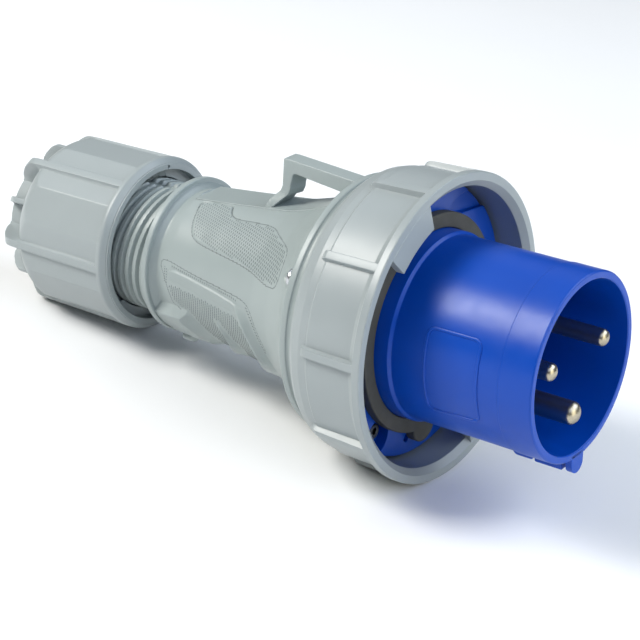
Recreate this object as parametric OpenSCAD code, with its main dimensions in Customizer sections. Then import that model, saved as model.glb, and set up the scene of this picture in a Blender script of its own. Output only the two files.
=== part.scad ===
// Industrial pin and sleeve plug, 32 A, two poles and earth, watertight type.
// Millimetres. Each piece is drawn on the plug axis: X runs along the axis, with
// zero at the mouth of the blue shroud and minus X toward the cable end, Z points
// at the hanging eye. place() then lays the whole plug down as it rests on a table,
// on its locking ring and gland nut, with the row's +Z up.
// Angles around the axis: 0 is +Y, 90 is the hanging eye, 270 is the key.

/* [Contacts] */
// diameter of the line and neutral pins
pin_d = 6; // [5:0.5:8]
// diameter of the earth pin
earth_d = 8; // [6:0.5:10]
// radius of the circle the pins stand on
pin_pitch_r = 16.9; // [15:0.1:19]
// angle of the neutral pin, the line pin mirrors it
pin_angle = 14; // [5:1:30]
// how far the pin tips stand back from the shroud mouth
pin_setback = 0.4; // [0.2:0.1:5]

/* [Blue front shell] */
// outer radius of the shroud
shroud_r = 32; // [28:0.1:36]
// wall thickness of the shroud
shroud_wall = 2.7; // [2:0.1:4]
// depth of the shroud from mouth to floor
shroud_depth = 45; // [40:0.5:50]
// thickness of the floor that carries the pins
floor_t = 6; // [4:0.5:8]
// radius of the flange disc
flange_r = 47; // [44:0.1:47.5]
// distance from the mouth to the front of the flange disc
flange_x = 61.5; // [58:0.1:65]
// thickness of the flange disc
flange_t = 7; // [5:0.1:7]
// radius the key nose reaches
key_r = 37.5; // [36:0.1:39]

/* [Locking ring] */
// outer radius over the ribs at the front of the ring
ring_r = 53.35; // [51:0.05:55]
// distance from the shroud mouth to the front of the ring
ring_x = 49.75; // [48:0.05:51]
// number of grip ribs
ring_ribs = 10; // [8:1:14]
// turn from open to locked, in degrees
ring_turn = 50; // [30:1:60]

/* [Handle housing] */
// radius of the flange rim behind the ring
rim_r = 45.3; // [44:0.1:47]
// radius of the collar in front of the thread
collar_r = 28.2; // [26:0.1:30]
// radius over the thread crests of the neck
neck_r = 23.9; // [22:0.1:24]
// position of the end of the neck behind the shroud mouth
neck_end = 195.5; // [190:0.5:198]
// half thickness of the hanging eye
eye_half = 3.3; // [2.5:0.1:4.5]

/* [Gland nut] */
// radius of the rim band of the nut
nut_r = 32; // [30:0.1:34]
// position of the front face of the nut, as it is pictured
nut_x = 175.5; // [165:0.05:178]
// position of the rear end of the nut
nut_end = 231.7; // [225:0.1:235]
// number of large ribs on the nut
nut_ribs = 6; // [5:1:9]
// radius of the cable hole in the rubber seal
cable_r = 9; // [6:0.5:10]

/* [How it lies] */
// turn around its own axis, in degrees
rest_roll = 3.85; // [0:0.01:30]
// nose-up tilt, in degrees
rest_pitch = 7.82; // [0:0.01:15]
// shift along X that centres the lying plug
shift_x = 113.67; // [-200:0.01:200]
// shift along Y that centres the lying plug
shift_y = 0; // [-50:0.01:50]
// height of the shroud mouth centre above the table
lift = 60.02; // [40:0.01:90]

/* [Hidden] */
$fn = 96;
shroud_ri = shroud_r - shroud_wall;
floor_x = shroud_depth;
floor_b = shroud_depth + floor_t;
flange_b = flange_x + flange_t;
pin_r = pin_d / 2;
earth_r = earth_d / 2;
pin_a = [pin_angle, 180 - pin_angle, 270];
pin_rr = [pin_r, pin_r, earth_r];
barrel_r = [5.2, 5.2, 5.8];
retain_a = [90, 218, 322];
shell_a = [113, 233, 353];
lug_a = [107, 287];
lug_span = 27.5;

// ---------------------------------------------------------------- helpers
// the lying pose of the whole plug
module place() translate([shift_x, shift_y, lift]) rotate([0, -rest_pitch, 0])
    rotate([rest_roll, 0, 0]) children();
// solid of revolution about the plug axis, points are [radius, distance along X]
module rev(p) rotate([0, 90, 0]) rotate_extrude() polygon(p);
// round bar along the axis between two X positions
module rod(r, x0, x1) translate([x0, 0, 0]) rotate([0, 90, 0]) cylinder(r = r, h = x1 - x0);
// cone along the axis, radius ra at x0 and rb at x1
module cone(ra, rb, x0, x1) translate([x0, 0, 0]) rotate([0, 90, 0])
    cylinder(r1 = ra, r2 = rb, h = x1 - x0);
// stands a child at an angle round the axis, local +Y points outward
module at(a, r = 0) rotate([a, 0, 0]) translate([0, r, 0]) children();
// extrudes a drawing of the cross-section along X
module bar(x0, x1) translate([x0, 0, 0]) rotate([90, 0, 90]) linear_extrude(x1 - x0) children();
// extrudes a drawing of [X, radius] by a thickness across the radius
module fin(t) translate([0, 0, -t / 2]) linear_extrude(t) children();
// a wedge of the cross-section from angle a0 to a1
module wedge(a0, a1, r) polygon([[0, 0], for (i = [0:6]) let (a = a0 + (a1 - a0) * i / 6)
    [r * cos(a), r * sin(a)]]);
// round ring of a round section, centred at x
module oring(r, m, x) translate([x, 0, 0]) rotate([0, 90, 0]) rotate_extrude()
    translate([r, 0]) circle(r = m, $fn = 48);

// ---------------------------------------------------------------- housing
// outline of the grip, [radius, X], from the collar to the flange rim
grip = [[24.5, -156], [25.3, -152], [26.3, -140], [27.2, -134], [27.6, -130], [29.2, -119],
        [30.5, -111], [33.3, -102], [36, -97], [36.6, -94], [38.5, -92], [41.5, -88]];
// fuller outline of the underside of the grip
belly = [[26.5, -157], [28, -156], [28.4, -140], [27.9, -133], [28.9, -127.5], [29.3, -120],
         [30.8, -116.5], [31.8, -113], [32.8, -109], [33.4, -105], [36, -97]];

module housing_outer() {
    rev(concat([[0, -195.5]], [[neck_r - 1.4, -neck_end], [neck_r, -neck_end + 1.4],
        [neck_r, -161.5], [collar_r - 0.4, -161.5], [collar_r, -161.1], [collar_r, -159.4],
        [collar_r - 0.4, -159], [26.2, -158.2]], grip,
        [[43.3, -87.6], [rim_r - 0.5, -87.3], [rim_r, -86.8], [rim_r, -85], [rim_r - 0.5, -84.5],
        [44.6, -84.5], [44.6, -82.1], [43, -81.9], [43, -69.1], [42.5, -68.6], [0, -68.6]]));
    // fuller underside, which blends into the collar and the flare
    intersection() {
        rev(concat([[0, -157]], belly, [[0, -97]]));
        bar(-158, -96) wedge(205, 335, 60);
    }
    // flat-topped spine under the hanging eye
    translate([0, 7.3, 0]) rotate([90, 0, 0]) linear_extrude(14.6)
        polygon([[-153.5, 18], [-153.5, 24.4], [-151.8, 25.3], [-134.3, 27.2], [-119.4, 29],
                 [-111.7, 29.7], [-102.4, 32.5], [-94.2, 35.9], [-88, 40.5], [-87, 40.5], [-87, 30]]);
    // hanging eye
    translate([0, eye_half, 0]) rotate([90, 0, 0]) linear_extrude(2 * eye_half) difference() {
        polygon([[-124.5, 27], [-121.7, 31.6], [-118.6, 34.6], [-117.8, 36.4], [-117.2, 45],
                 [-116.4, 46.2], [-115, 46.2], [-86.5, 44.4], [-86, 34]]);
        polygon([[-119.6, 29.6], [-115.4, 33.6], [-114.2, 35.6], [-113.7, 41], [-112.8, 41.8],
                 [-93.6, 39.6], [-91.4, 38.4], [-94.2, 35.9], [-102.4, 32.5], [-111.7, 29.7],
                 [-119.4, 29]]);
    }
    // stop that limits the turn of the locking ring
    intersection() {
        bar(-77.5, -70) wedge(86.5, 93.5, 60);
        rod(44.8, -77.5, -70);
        difference() { rod(60, -77.5, -70); rod(40, -78, -69.5); }
    }
    // strain tab under the collar
    at(238) fin(5) polygon([[-152, 26], [-152, 29.8], [-151.2, 30.2], [-148.4, 30.2], [-147.6, 29.4], [-147.6, 26]]);
}

module handle_housing() color([0.66, 0.69, 0.69]) place() difference() {
    housing_outer();
    // room for the terminals and the wires
    rev([[0, -68], [36, -68], [36, -80.5], [33.4, -94], [30, -102], [26.2, -116], [24, -132],
         [22.2, -148], [17, -156], [17, -176], [0, -176]]);
    // pocket for the rubber seal
    rod(19, -neck_end - 1, -176);
    // seats and holes of the two handle screws
    for (a = [150, 330]) at(a, 40.2) { rod(3.9, -98, -87.5); rod(1.75, -88, -60); }
    // holes of the two shell screws
    for (a = shell_a) at(a, 40.2) rod(1.65, -79, -60);
}

// ---------------------------------------------------------------- front shell
module front_shell() color([0.05, 0.2, 0.6]) place() difference() {
    union() {
        rev([[shroud_ri, -0.5], [shroud_ri + 0.5, 0], [shroud_r - 0.5, 0], [shroud_r, -0.5],
             [shroud_r, -12], [shroud_r - 0.3, -12.5], [shroud_r - 0.3, -52.3],
             [shroud_r + 0.6, -53.2], [shroud_r + 0.6, -flange_x], [flange_r - 0.4, -flange_x],
             [flange_r, -flange_x - 0.4], [flange_r, -flange_b + 0.4], [flange_r - 0.4, -flange_b],
             [35.7, -flange_b], [35.7, -72.6], [34.2, -72.6], [34.2, -74.8], [35.7, -74.8],
             [35.7, -77.4], [35.1, -78], [33, -78], [33, -65.5], [29.3, -63], [29.3, -floor_b],
             [0, -floor_b], [0, -floor_x], [shroud_ri, -floor_x]]);
        // key: nose, rail and broad foot
        at(270) {
            bar(-2.4, 0) { translate([33.9, 0]) circle(r = key_r - 33.9); translate([30.5, -3.6]) square([3.4, 7.2]); }
            bar(-4.2, -2.3) translate([30.5, -2.6]) square([3.5, 5.2]);
            bar(-14.1, -4) polygon([[30.5, -3.4], [35.9, -3.4], [36.7, -2.6], [36.7, 2.6], [35.9, 3.4], [30.5, 3.4]]);
            translate([0, 0, -5]) linear_extrude(10)
                polygon([[-14, 30.5], [-14, 34.9], [-14.4, 35.3], [-20.5, 35.3], [-23.5, 32.2], [-24, 30.5]]);
        }
        // bosses round the pins on the floor
        for (i = [0:2]) at(pin_a[i], pin_pitch_r) cone(barrel_r[i] + 0.9, barrel_r[i] + 0.5, -floor_x - 0.5, -floor_x + 1.2);
    }
    // passages of the pins and the seats of their O-rings
    for (i = [0:2]) at(pin_a[i], pin_pitch_r) {
        rod(pin_rr[i] + 0.1, -60, -40);
        rod(pin_rr[i] + 2, -floor_b - 1, -floor_b + 2);
    }
    // blind holes of the retainer screws
    for (a = retain_a) at(a, 17) rod(1.7, -floor_b - 1, -46.6);
    // three screw pockets, open at the rim of the flange disc
    for (a = shell_a) {
        bar(-65.5, -60) rotate(a) {
            translate([41.8, 0]) circle(r = 6.2);
            translate([41.8, -4.5]) square([8, 9]);
        }
        at(a, 40.2) rod(1.75, -80, -60);
    }
    // blind holes of the handle screws
    for (a = [150, 330]) at(a, 40.2) rod(1.65, -70, -63.6);
    // crescent recess beside the gasket tab
    at(258.8, 41.3) rod(1.5, -63, -60);
    // slanted finger recess, open at the rim of the flange disc
    bar(-63.1, -60) rotate(55) polygon([[49.5, -1.9], [44.2, 4.1], [41, 7.1], [37.4, 8.2], [37.4, 2.5],
        [47.9, -15.7]]);
}

// ---------------------------------------------------------------- contacts
module pin(i) at(pin_a[i], pin_pitch_r) difference() {
    let (r = pin_rr[i], s = pin_setback)
    // domed tip, shaft, slightly relieved root, collar and terminal barrel
    rev([[0, -s], [0.3 * r, -s - 0.04 * r], [0.55 * r, -s - 0.13 * r], [0.77 * r, -s - 0.28 * r],
         [0.92 * r, -s - 0.48 * r], [r, -s - 0.72 * r], [r, -43.6], [r - 0.2, -43.62],
         [r - 0.2, -51.02], [r + 3, -51.04],
         [r + 3, -53], [barrel_r[i], -53], [barrel_r[i], -75.6], [barrel_r[i] - 0.4, -76], [0, -76]]);
    // wire bore and the tapped hole of the terminal screw
    rod(i == 2 ? 3.6 : 3, -77, -64);
    translate([-70, 0, 0]) rotate([-90, 0, 0]) cylinder(r = 2.1, h = 10);
}
module line_pin() color([0.78, 0.74, 0.66]) place() pin(1);
module neutral_pin() color([0.78, 0.74, 0.66]) place() pin(0);
module earth_pin() color([0.78, 0.74, 0.66]) place() pin(2);

module terminal_screws() color([0.7, 0.7, 0.72]) place()
    for (i = [0:2]) at(pin_a[i], pin_pitch_r) translate([-70, 0, 0]) difference() {
        union() {
            translate([0, 0.6, 0]) rotate([-90, 0, 0]) cylinder(r = 2, h = 7);
            translate([0, barrel_r[i] + 1, 0]) rotate([-90, 0, 0]) cylinder(r = 3, h = 2.4);
        }
        translate([-4, barrel_r[i] + 2.4, -0.4]) cube([8, 3, 0.8]);
    }

module wire_clamps() color([0.72, 0.7, 0.66]) place()
    for (i = [0:2]) at(pin_a[i], pin_pitch_r) translate([-74.5, -0.3, -2.1]) cube([9, 0.8, 4.2]);

module contact_retainer() color([0.16, 0.17, 0.18]) place() difference() {
    rev([[0, -floor_b - 0.02], [27, -floor_b - 0.02], [27, -56], [26.5, -56.5], [0, -56.5]]);
    for (i = [0:2]) at(pin_a[i], pin_pitch_r) {
        rod(pin_rr[i] + 3.15, -53, -50);
        rod(barrel_r[i] + 0.15, -58, -52);
    }
    for (a = retain_a) at(a, 17) rod(1.75, -58, -50);
}

module retainer_screws() color([0.7, 0.7, 0.72]) place()
    for (a = retain_a) at(a, 17) difference() {
        union() {
            rod(1.6, -57, -47);
            rod(3, -58.6, -56.55);
        }
        translate([-60, -0.4, -4]) cube([2.2, 0.8, 8]);
    }

module pin_seals() color([0.08, 0.08, 0.08]) place()
    for (i = [0:2]) at(pin_a[i], pin_pitch_r) oring(pin_rr[i] + 0.95, 0.87, -floor_b + 1);

// ---------------------------------------------------------------- seals and screws
module face_gasket() color([0.27, 0.26, 0.24]) place() difference() {
    bar(-flange_x + 0.02, -58) {
        rotate(33) circle(r = 38);
        rotate(266) translate([36.5, 0]) circle(r = 6.3);
    }
    bar(-63, -56) rotate(20) circle(r = shroud_r + 0.8);
}
module shell_seal() color([0.1, 0.1, 0.1]) place() oring(35.12, 0.85, -73.7);

module shell_screws() color([0.35, 0.35, 0.36]) place()
    for (a = shell_a) at(a, 40.2) difference() {
        union() { rod(1.6, -78, -65); rod(3, -65.48, -63.4); }
        translate([-64.6, 0, 0]) bar(0, 3) circle(r = 1.35, $fn = 6);
    }
module handle_screws() color([0.72, 0.72, 0.73]) place()
    for (a = [150, 330]) at(a, 40.2) difference() {
        union() { rod(1.6, -88, -64.4); rod(3.3, -90, -87.52); }
        translate([-91, 0, 0]) bar(0, 2.4) { square([3.6, 0.9], center = true); square([0.9, 3.6], center = true); }
    }

// ---------------------------------------------------------------- locking ring
module bayonet_ring() color([0.6, 0.64, 0.66]) place() difference() {
    union() {
        rev([[50.4, -ring_x], [ring_r - 0.5, -ring_x], [ring_r, -ring_x - 0.5], [ring_r, -52.7],
             [50.9, -53.3], [50.6, -72.3], [50, -73], [49.9, -76], [49, -79.2], [47.8, -80.9],
             [46.2, -81.6], [43.4, -81.6], [43.4, -69.2], [48.2, -69.2], [48.2, -51.7]]);
        // grip ribs
        for (i = [0:ring_ribs - 1]) at(139.2 + i * 360 / ring_ribs) fin(3.4)
            polygon([[-52, 49.6], [-52, ring_r - 0.3], [-72.4, ring_r - 0.9], [-73.4, 51.6], [-73.8, 49.6]]);
        // two locking lugs that reach inward at the mouth
        for (a = lug_a) bar(-53, -ring_x) intersection() {
            difference() { circle(r = 50.2); circle(r = 41); }
            wedge(a, a + lug_span, 60);
        }
    }
    // pocket that the housing's stop runs in, open toward the flange disc
    difference() {
        bar(-78.2, -68) wedge(93.5 - 7.8 - ring_turn, 94.3, 60);
        rod(43, -90, -60);
        difference() { rod(80, -90, -60); rod(45.2, -91, -59); }
    }
}

// ---------------------------------------------------------------- gland
module gland_nut() color([0.6, 0.64, 0.66]) place() difference() {
    union() {
        rev([[0, -nut_x], [nut_r - 2.3, -nut_x], [nut_r - 0.4, -nut_x - 1.8],
             [nut_r, -nut_x - 2.2], [nut_r, -179.2], [nut_r - 0.6, -179.8], [0, -179.8]]);
        // body with three flats between neighbouring ribs
        intersection() {
            bar(-220, -179) polygon([for (i = [0:nut_ribs - 1], k = [0, 17.4, 42.6])
                let (a = 120.9 + i * 360 / nut_ribs + k, r = k == 0 ? 30.5 : 31.5) [r * cos(a), r * sin(a)]]);
            rev([[0, -220], [27, -220], [28.8, -219.2], [30.2, -217.3], [31.1, -215.2], [31.6, -213],
                 [33, -179], [0, -179]]);
        }
        rev([[0, -nut_end], [19.9, -nut_end], [20.4, -nut_end + 0.5], [20.4, -219], [0, -219]]);
        // large ribs and small fins
        for (i = [0:nut_ribs - 1]) {
            at(120.9 + i * 360 / nut_ribs) fin(3)
                polygon([[-nut_end + 0.1, 17], [-nut_end + 0.1, 22], [-229.6, 25], [-227.2, 28],
                         [-225, 30], [-223.4, 31], [-179.4, nut_r - 0.3], [-179.4, 22]]);
            at(120.9 + (i + 0.5) * 360 / nut_ribs) fin(2.2)
                polygon([[-nut_end + 0.1, 17], [-nut_end + 0.1, 22], [-229.2, 24.9], [-226.7, 27.2],
                         [-225, 27.9], [-216, 27.9], [-216, 17]]);
        }
    }
    // thread bore with its widened mouth, and the cable hole
    rev([[0, -nut_x + 1], [27.8, -nut_x + 1], [27.8, -179.2], [24.4, -179.6], [24.4, -213],
         [16.5, -213], [13, -217], [13, -nut_end + 2], [15, -nut_end - 0.01],
         [15, -nut_end - 1], [0, -nut_end - 1]]);
    // dimple on the rim face
    at(80, 28.75) rod(0.7, -nut_x - 0.8, -nut_x + 1);
}
module gland_washer() color([0.2, 0.2, 0.21]) place()
    rev([[12, -212.7], [23.6, -212.7], [23.6, -209.6], [23.2, -209.2], [12, -209.2]]);
module gland_seal() color([0.12, 0.12, 0.12]) place()
    rev([[cable_r, -177], [18.2, -177], [18.6, -177.4], [18.6, -194.8], [18.2, -195.2],
         [10.5, -195.2], [cable_r, -193.6]]);

handle_housing();
front_shell();
contact_retainer();
line_pin();
neutral_pin();
earth_pin();
terminal_screws();
wire_clamps();
retainer_screws();
pin_seals();
face_gasket();
shell_seal();
shell_screws();
handle_screws();
bayonet_ring();
gland_nut();
gland_washer();
gland_seal();
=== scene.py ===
import bpy
import bmesh
import json
import math
import numpy as np
from mathutils import Matrix, Vector
from mathutils.geometry import tessellate_polygon


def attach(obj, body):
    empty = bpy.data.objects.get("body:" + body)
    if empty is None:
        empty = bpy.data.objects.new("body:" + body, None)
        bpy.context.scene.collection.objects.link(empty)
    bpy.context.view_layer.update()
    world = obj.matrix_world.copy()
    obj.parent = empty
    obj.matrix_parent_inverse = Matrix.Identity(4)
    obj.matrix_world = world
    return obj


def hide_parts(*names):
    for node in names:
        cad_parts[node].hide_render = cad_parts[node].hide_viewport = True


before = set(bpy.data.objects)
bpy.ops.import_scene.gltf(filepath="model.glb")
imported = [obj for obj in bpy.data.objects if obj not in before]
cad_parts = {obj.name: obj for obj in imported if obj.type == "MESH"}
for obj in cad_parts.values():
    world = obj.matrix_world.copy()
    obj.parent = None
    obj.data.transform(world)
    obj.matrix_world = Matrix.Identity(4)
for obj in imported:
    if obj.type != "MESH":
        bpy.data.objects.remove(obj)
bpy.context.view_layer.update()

# ------------------------------------------------------------------ where the plug lies
# Pieces are drawn on the plug axis in millimetres (X along the axis, zero at the
# shroud mouth, Z toward the hanging eye, angles from +Y) and then laid down.
ROLL, PITCH = math.radians(3.85), math.radians(7.82)
LIFT = np.array([113.67, 0.0, 60.02])
RX = np.array([[1, 0, 0], [0, math.cos(ROLL), -math.sin(ROLL)], [0, math.sin(ROLL), math.cos(ROLL)]])
RY = np.array([[math.cos(PITCH), 0, -math.sin(PITCH)], [0, 1, 0], [math.sin(PITCH), 0, math.cos(PITCH)]])
PLACE = RY @ RX


def rad(d):
    return math.radians(d)


def to_row(v):
    return (np.asarray(v, float) @ PLACE.T + LIFT) / 1000.0


# ------------------------------------------------------------------ mesh helpers
class Shell:
    """Collects closed shells, in plug millimetres, for one Blender mesh."""

    def __init__(self):
        self.v, self.f, self.n, self.mat = [], [], 0, []

    def add(self, v, f, mat=0):
        v = np.asarray(v, float).reshape(-1, 3)
        self.v.append(v)
        self.f.extend([tuple(i + self.n for i in q) for q in f])
        self.mat.extend([mat] * len(f))
        self.n += len(v)

    def add_np(self, v, quads, mat=0):
        v = np.asarray(v, float).reshape(-1, 3)
        self.v.append(v)
        self.f.extend(map(tuple, (np.asarray(quads) + self.n).tolist()))
        self.mat.extend([mat] * len(quads))
        self.n += len(v)


def grid_quads(nu, nv, wrap_u=False, wrap_v=True):
    iu = np.arange(nu if wrap_u else nu - 1)
    iv = np.arange(nv if wrap_v else nv - 1)
    a, b = np.meshgrid(iu, iv, indexing="ij")
    a2, b2 = (a + 1) % nu, (b + 1) % nv
    return np.stack([a * nv + b, a * nv + b2, a2 * nv + b2, a2 * nv + b], -1).reshape(-1, 4)


def fillet(pts, n=4, closed=False):
    """Rounds the corners of a drawing. A point may carry a third number, its radius."""
    out, m = [], len(pts)
    for i, p in enumerate(pts):
        rr = p[2] if len(p) > 2 else 0
        if rr <= 0 or (not closed and i in (0, m - 1)):
            out.append((float(p[0]), float(p[1])))
            continue
        a, b, c = (np.array(pts[(i - 1) % m][:2], float), np.array(p[:2], float),
                   np.array(pts[(i + 1) % m][:2], float))
        u, w = a - b, c - b
        lu, lw = np.hypot(*u), np.hypot(*w)
        u, w = u / lu, w / lw
        ang = math.acos(max(-1, min(1, float(u @ w))))
        if ang > math.pi - 0.02:
            out.append((float(b[0]), float(b[1])))
            continue
        d = min(rr / math.tan(ang / 2), 0.48 * lu, 0.48 * lw)
        rr = d * math.tan(ang / 2)
        ctr = b + (u + w) / np.hypot(*(u + w)) * (rr / math.sin(ang / 2))
        p0, p1 = b + u * d - ctr, b + w * d - ctr
        a0, a1 = math.atan2(p0[1], p0[0]), math.atan2(p1[1], p1[0])
        da = (a1 - a0 + math.pi) % (2 * math.pi) - math.pi
        for k in range(n + 1):
            t = a0 + da * k / n
            out.append((float(ctr[0] + rr * math.cos(t)), float(ctr[1] + rr * math.sin(t))))
    return out


def lathe(shell, prof, n=160, closed=True, centre=(0.0, 0.0), mat=0, seg=4, a0=0.0):
    """Turns a drawing of (radius, X[, corner radius]) round an axis parallel to the plug's."""
    p = np.array(fillet(prof, seg, closed))
    t = np.arange(n) * 2 * math.pi / n + a0
    v = np.empty((len(p), n, 3))
    v[..., 0] = p[:, 1, None]
    v[..., 1] = centre[0] + p[:, 0, None] * np.cos(t)
    v[..., 2] = centre[1] + p[:, 0, None] * np.sin(t)
    shell.add_np(v, grid_quads(len(p), n, wrap_u=closed), mat)


def polar(r, a):
    return r * math.cos(rad(a)), r * math.sin(rad(a))


def inset(loop, d):
    """Moves every point of a closed loop inward by d (the loop runs anticlockwise)."""
    p = np.asarray(loop, float)
    e = np.roll(p, -1, 0) - p
    e /= np.maximum(np.hypot(e[:, 0], e[:, 1]), 1e-9)[:, None]
    nrm = np.stack([-e[:, 1], e[:, 0]], 1)
    n0 = np.roll(nrm, 1, 0)
    b = nrm + n0
    lb = np.maximum(np.hypot(b[:, 0], b[:, 1]), 1e-6)
    b /= lb[:, None]
    c = np.maximum((b * nrm).sum(1), 0.45)
    return p + b * (d / c)[:, None]


def area2(loop):
    p = np.asarray(loop, float)
    q = np.roll(p, -1, 0)
    return float((p[:, 0] * q[:, 1] - q[:, 0] * p[:, 1]).sum())


def plate(shell, loops, t0, t1, place, rho=0.4, rho0=None, seg=3, mat=0):
    """A flat plate from t0 to t1 with rounded edges. loops[0] is its outline, the rest holes."""
    rho0 = rho if rho0 is None else rho0
    lo = [(t0 + rho0 * (1 - math.cos(math.pi / 2 * k / seg)), rho0 * (1 - math.sin(math.pi / 2 * k / seg)))
          for k in range(seg + 1)]
    hi = [(t1 - rho * (1 - math.cos(math.pi / 2 * k / seg)), rho * (1 - math.sin(math.pi / 2 * k / seg)))
          for k in range(seg + 1)][::-1]
    levels = lo + hi
    verts, faces, caps = [], [], []
    base = 0
    for li, loop in enumerate(loops):
        lp = np.asarray(loop, float)
        ccw = area2(lp) > 0
        if (li == 0) != ccw:
            lp = lp[::-1]
        m = len(lp)
        for (t, d) in levels:
            q = inset(lp, d)
            verts.append(np.column_stack([q, np.full(m, t)]))
        for k in range(len(levels) - 1):
            for i in range(m):
                j = (i + 1) % m
                faces.append((base + k * m + i, base + k * m + j, base + (k + 1) * m + j, base + (k + 1) * m + i))
        caps.append((base, m, inset(lp, levels[0][1]), inset(lp, levels[-1][1])))
        base += m * len(levels)
    for which in (0, 1):
        flat = [[Vector((x, y, 0)) for x, y in c[2 + which]] for c in caps]
        index = []
        for (b0, m, _, _) in caps:
            off = b0 if which == 0 else b0 + m * (len(levels) - 1)
            index.extend(range(off, off + m))
        for tri in tessellate_polygon(flat):
            q = tuple(index[i] for i in tri)
            faces.append(q if which else q[::-1])
    pq = np.vstack(verts)
    shell.add(place(pq), faces, mat)


def in_section(pq):
    """Plate coordinates (y, z, x): a drawing of the cross-section, thickness along the axis."""
    return np.column_stack([pq[:, 2], pq[:, 0], pq[:, 1]])


def in_section_at(a):
    c, s = math.cos(rad(a)), math.sin(rad(a))

    def f(pq):
        return np.column_stack([pq[:, 2], pq[:, 0] * c - pq[:, 1] * s, pq[:, 0] * s + pq[:, 1] * c])
    return f


def in_radial(a):
    """Plate coordinates (x, radius, thickness) at angle a."""
    c, s = math.cos(rad(a)), math.sin(rad(a))

    def f(pq):
        return np.column_stack([pq[:, 0], pq[:, 1] * c - pq[:, 2] * s, pq[:, 1] * s + pq[:, 2] * c])
    return f


def rib(shell, a, stations, r_foot, half, foot, rho=0.45, mat=0):
    """A moulded rib along the axis: stations are (x, top radius, height share), foot flares to the wall."""
    c, s = math.cos(rad(a)), math.sin(rad(a))
    verts, m = [], 0
    for (x, rt, rf) in stations:
        h = rt - rf
        k = min(1.0, max(0.0, h / 2.0))
        w = [(-(half + foot), rf - 0.9), (-(half + foot), rf - 0.02), (-(half + 0.45 * foot), rf + 0.14 * h),
             (-(half + 0.16 * foot), rf + 0.42 * h), (-half, rt - rho * k), (-half + 0.3 * rho, rt - 0.3 * rho * k),
             (-half + rho, rt)]
        w = w + [(0.0, rt + 0.02)] + [(-t, r) for t, r in w[::-1]]
        m = len(w)
        for (t, r) in w:
            verts.append((x, r * c - t * s, r * s + t * c))
    n = len(stations)
    faces = [tuple(q) for q in grid_quads(n, m, wrap_u=False, wrap_v=True).tolist()]
    faces.append(tuple(range(m))[::-1])
    faces.append(tuple(range((n - 1) * m, n * m)))
    shell.add(verts, faces, mat)


OBJ = {}


def make(name, shell, body, mats, replaces=(), sharp=38, weld=True):
    me = bpy.data.meshes.new(name)
    v = to_row(np.vstack(shell.v))
    me.from_pydata(v.tolist(), [], shell.f)
    me.polygons.foreach_set("material_index", shell.mat)
    me.update()
    bm = bmesh.new()
    bm.from_mesh(me)
    if weld:
        bmesh.ops.remove_doubles(bm, verts=bm.verts, dist=2e-6)
        bmesh.ops.dissolve_degenerate(bm, edges=bm.edges, dist=1e-6)
    bmesh.ops.recalc_face_normals(bm, faces=bm.faces)
    bm.to_mesh(me)
    bm.free()
    o = bpy.data.objects.new(name, me)
    bpy.context.scene.collection.objects.link(o)
    for m in mats:
        me.materials.append(m)
    me.polygons.foreach_set("use_smooth", [True] * len(me.polygons))
    me.set_sharp_from_angle(angle=math.radians(sharp))
    wn = o.modifiers.new("even_normals", "WEIGHTED_NORMAL")
    wn.keep_sharp = True
    wn.weight = 60
    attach(o, body)
    if replaces:
        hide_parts(*replaces)
    OBJ[name] = o
    return o


# ------------------------------------------------------------------ smooth functions
def ramp(a, b, t):
    t = np.clip((t - a) / (b - a), 0.0, 1.0)
    return t * t * (3 - 2 * t)


def chaikin(p, n=2, closed=True):
    p = np.asarray(p, float)
    for _ in range(n):
        q = np.roll(p, -1, 0) if closed else p[1:]
        a = p if closed else p[:-1]
        m = np.empty((2 * len(a), 2))
        m[0::2], m[1::2] = a * 0.78 + q * 0.22, a * 0.22 + q * 0.78
        if not closed:
            m = np.vstack([p[:1], m, p[-1:]])
        p = m
    return p


ARC = 0.4887  # millimetres of arc per degree at the grip's mean radius


def inside_distance(x, s, poly):
    """Signed distance in mm to an outline given as (x, degrees from the top); negative inside."""
    P = np.asarray(poly, float).copy()
    P[:, 1] *= ARC
    px, py = np.broadcast_arrays(np.asarray(x, float), np.asarray(s, float) * ARC)
    d2 = np.full(px.shape, 1e9)
    ins = np.zeros(px.shape, bool)
    for i in range(len(P)):
        ax, ay = P[i]
        bx, by = P[(i + 1) % len(P)]
        ex, ey = bx - ax, by - ay
        L = ex * ex + ey * ey
        if L < 1e-12:
            continue
        t = np.clip(((px - ax) * ex + (py - ay) * ey) / L, 0, 1)
        d2 = np.minimum(d2, (px - ax - t * ex) ** 2 + (py - ay - t * ey) ** 2)
        cross = ((ay > py) != (by > py)) & (px < ex * (py - ay) / (ey if abs(ey) > 1e-12 else 1e-12) + ax)
        ins ^= cross
    d = np.sqrt(d2)
    return np.where(ins, -d, d)


def soft(xs, ys, width):
    """A profile through the given points, eased over a width in mm."""
    fine = np.arange(xs[0] - 10, xs[-1] + 10, 0.1)
    y = np.interp(fine, xs, ys)
    k = np.exp(-0.5 * (np.arange(-60, 61) * 0.1 / width) ** 2)
    k /= k.sum()
    pad = np.concatenate([np.full(60, y[0]), y, np.full(60, y[-1])])
    y2 = np.convolve(pad, k, "valid")
    return lambda x: np.interp(x, fine, y2)


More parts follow.
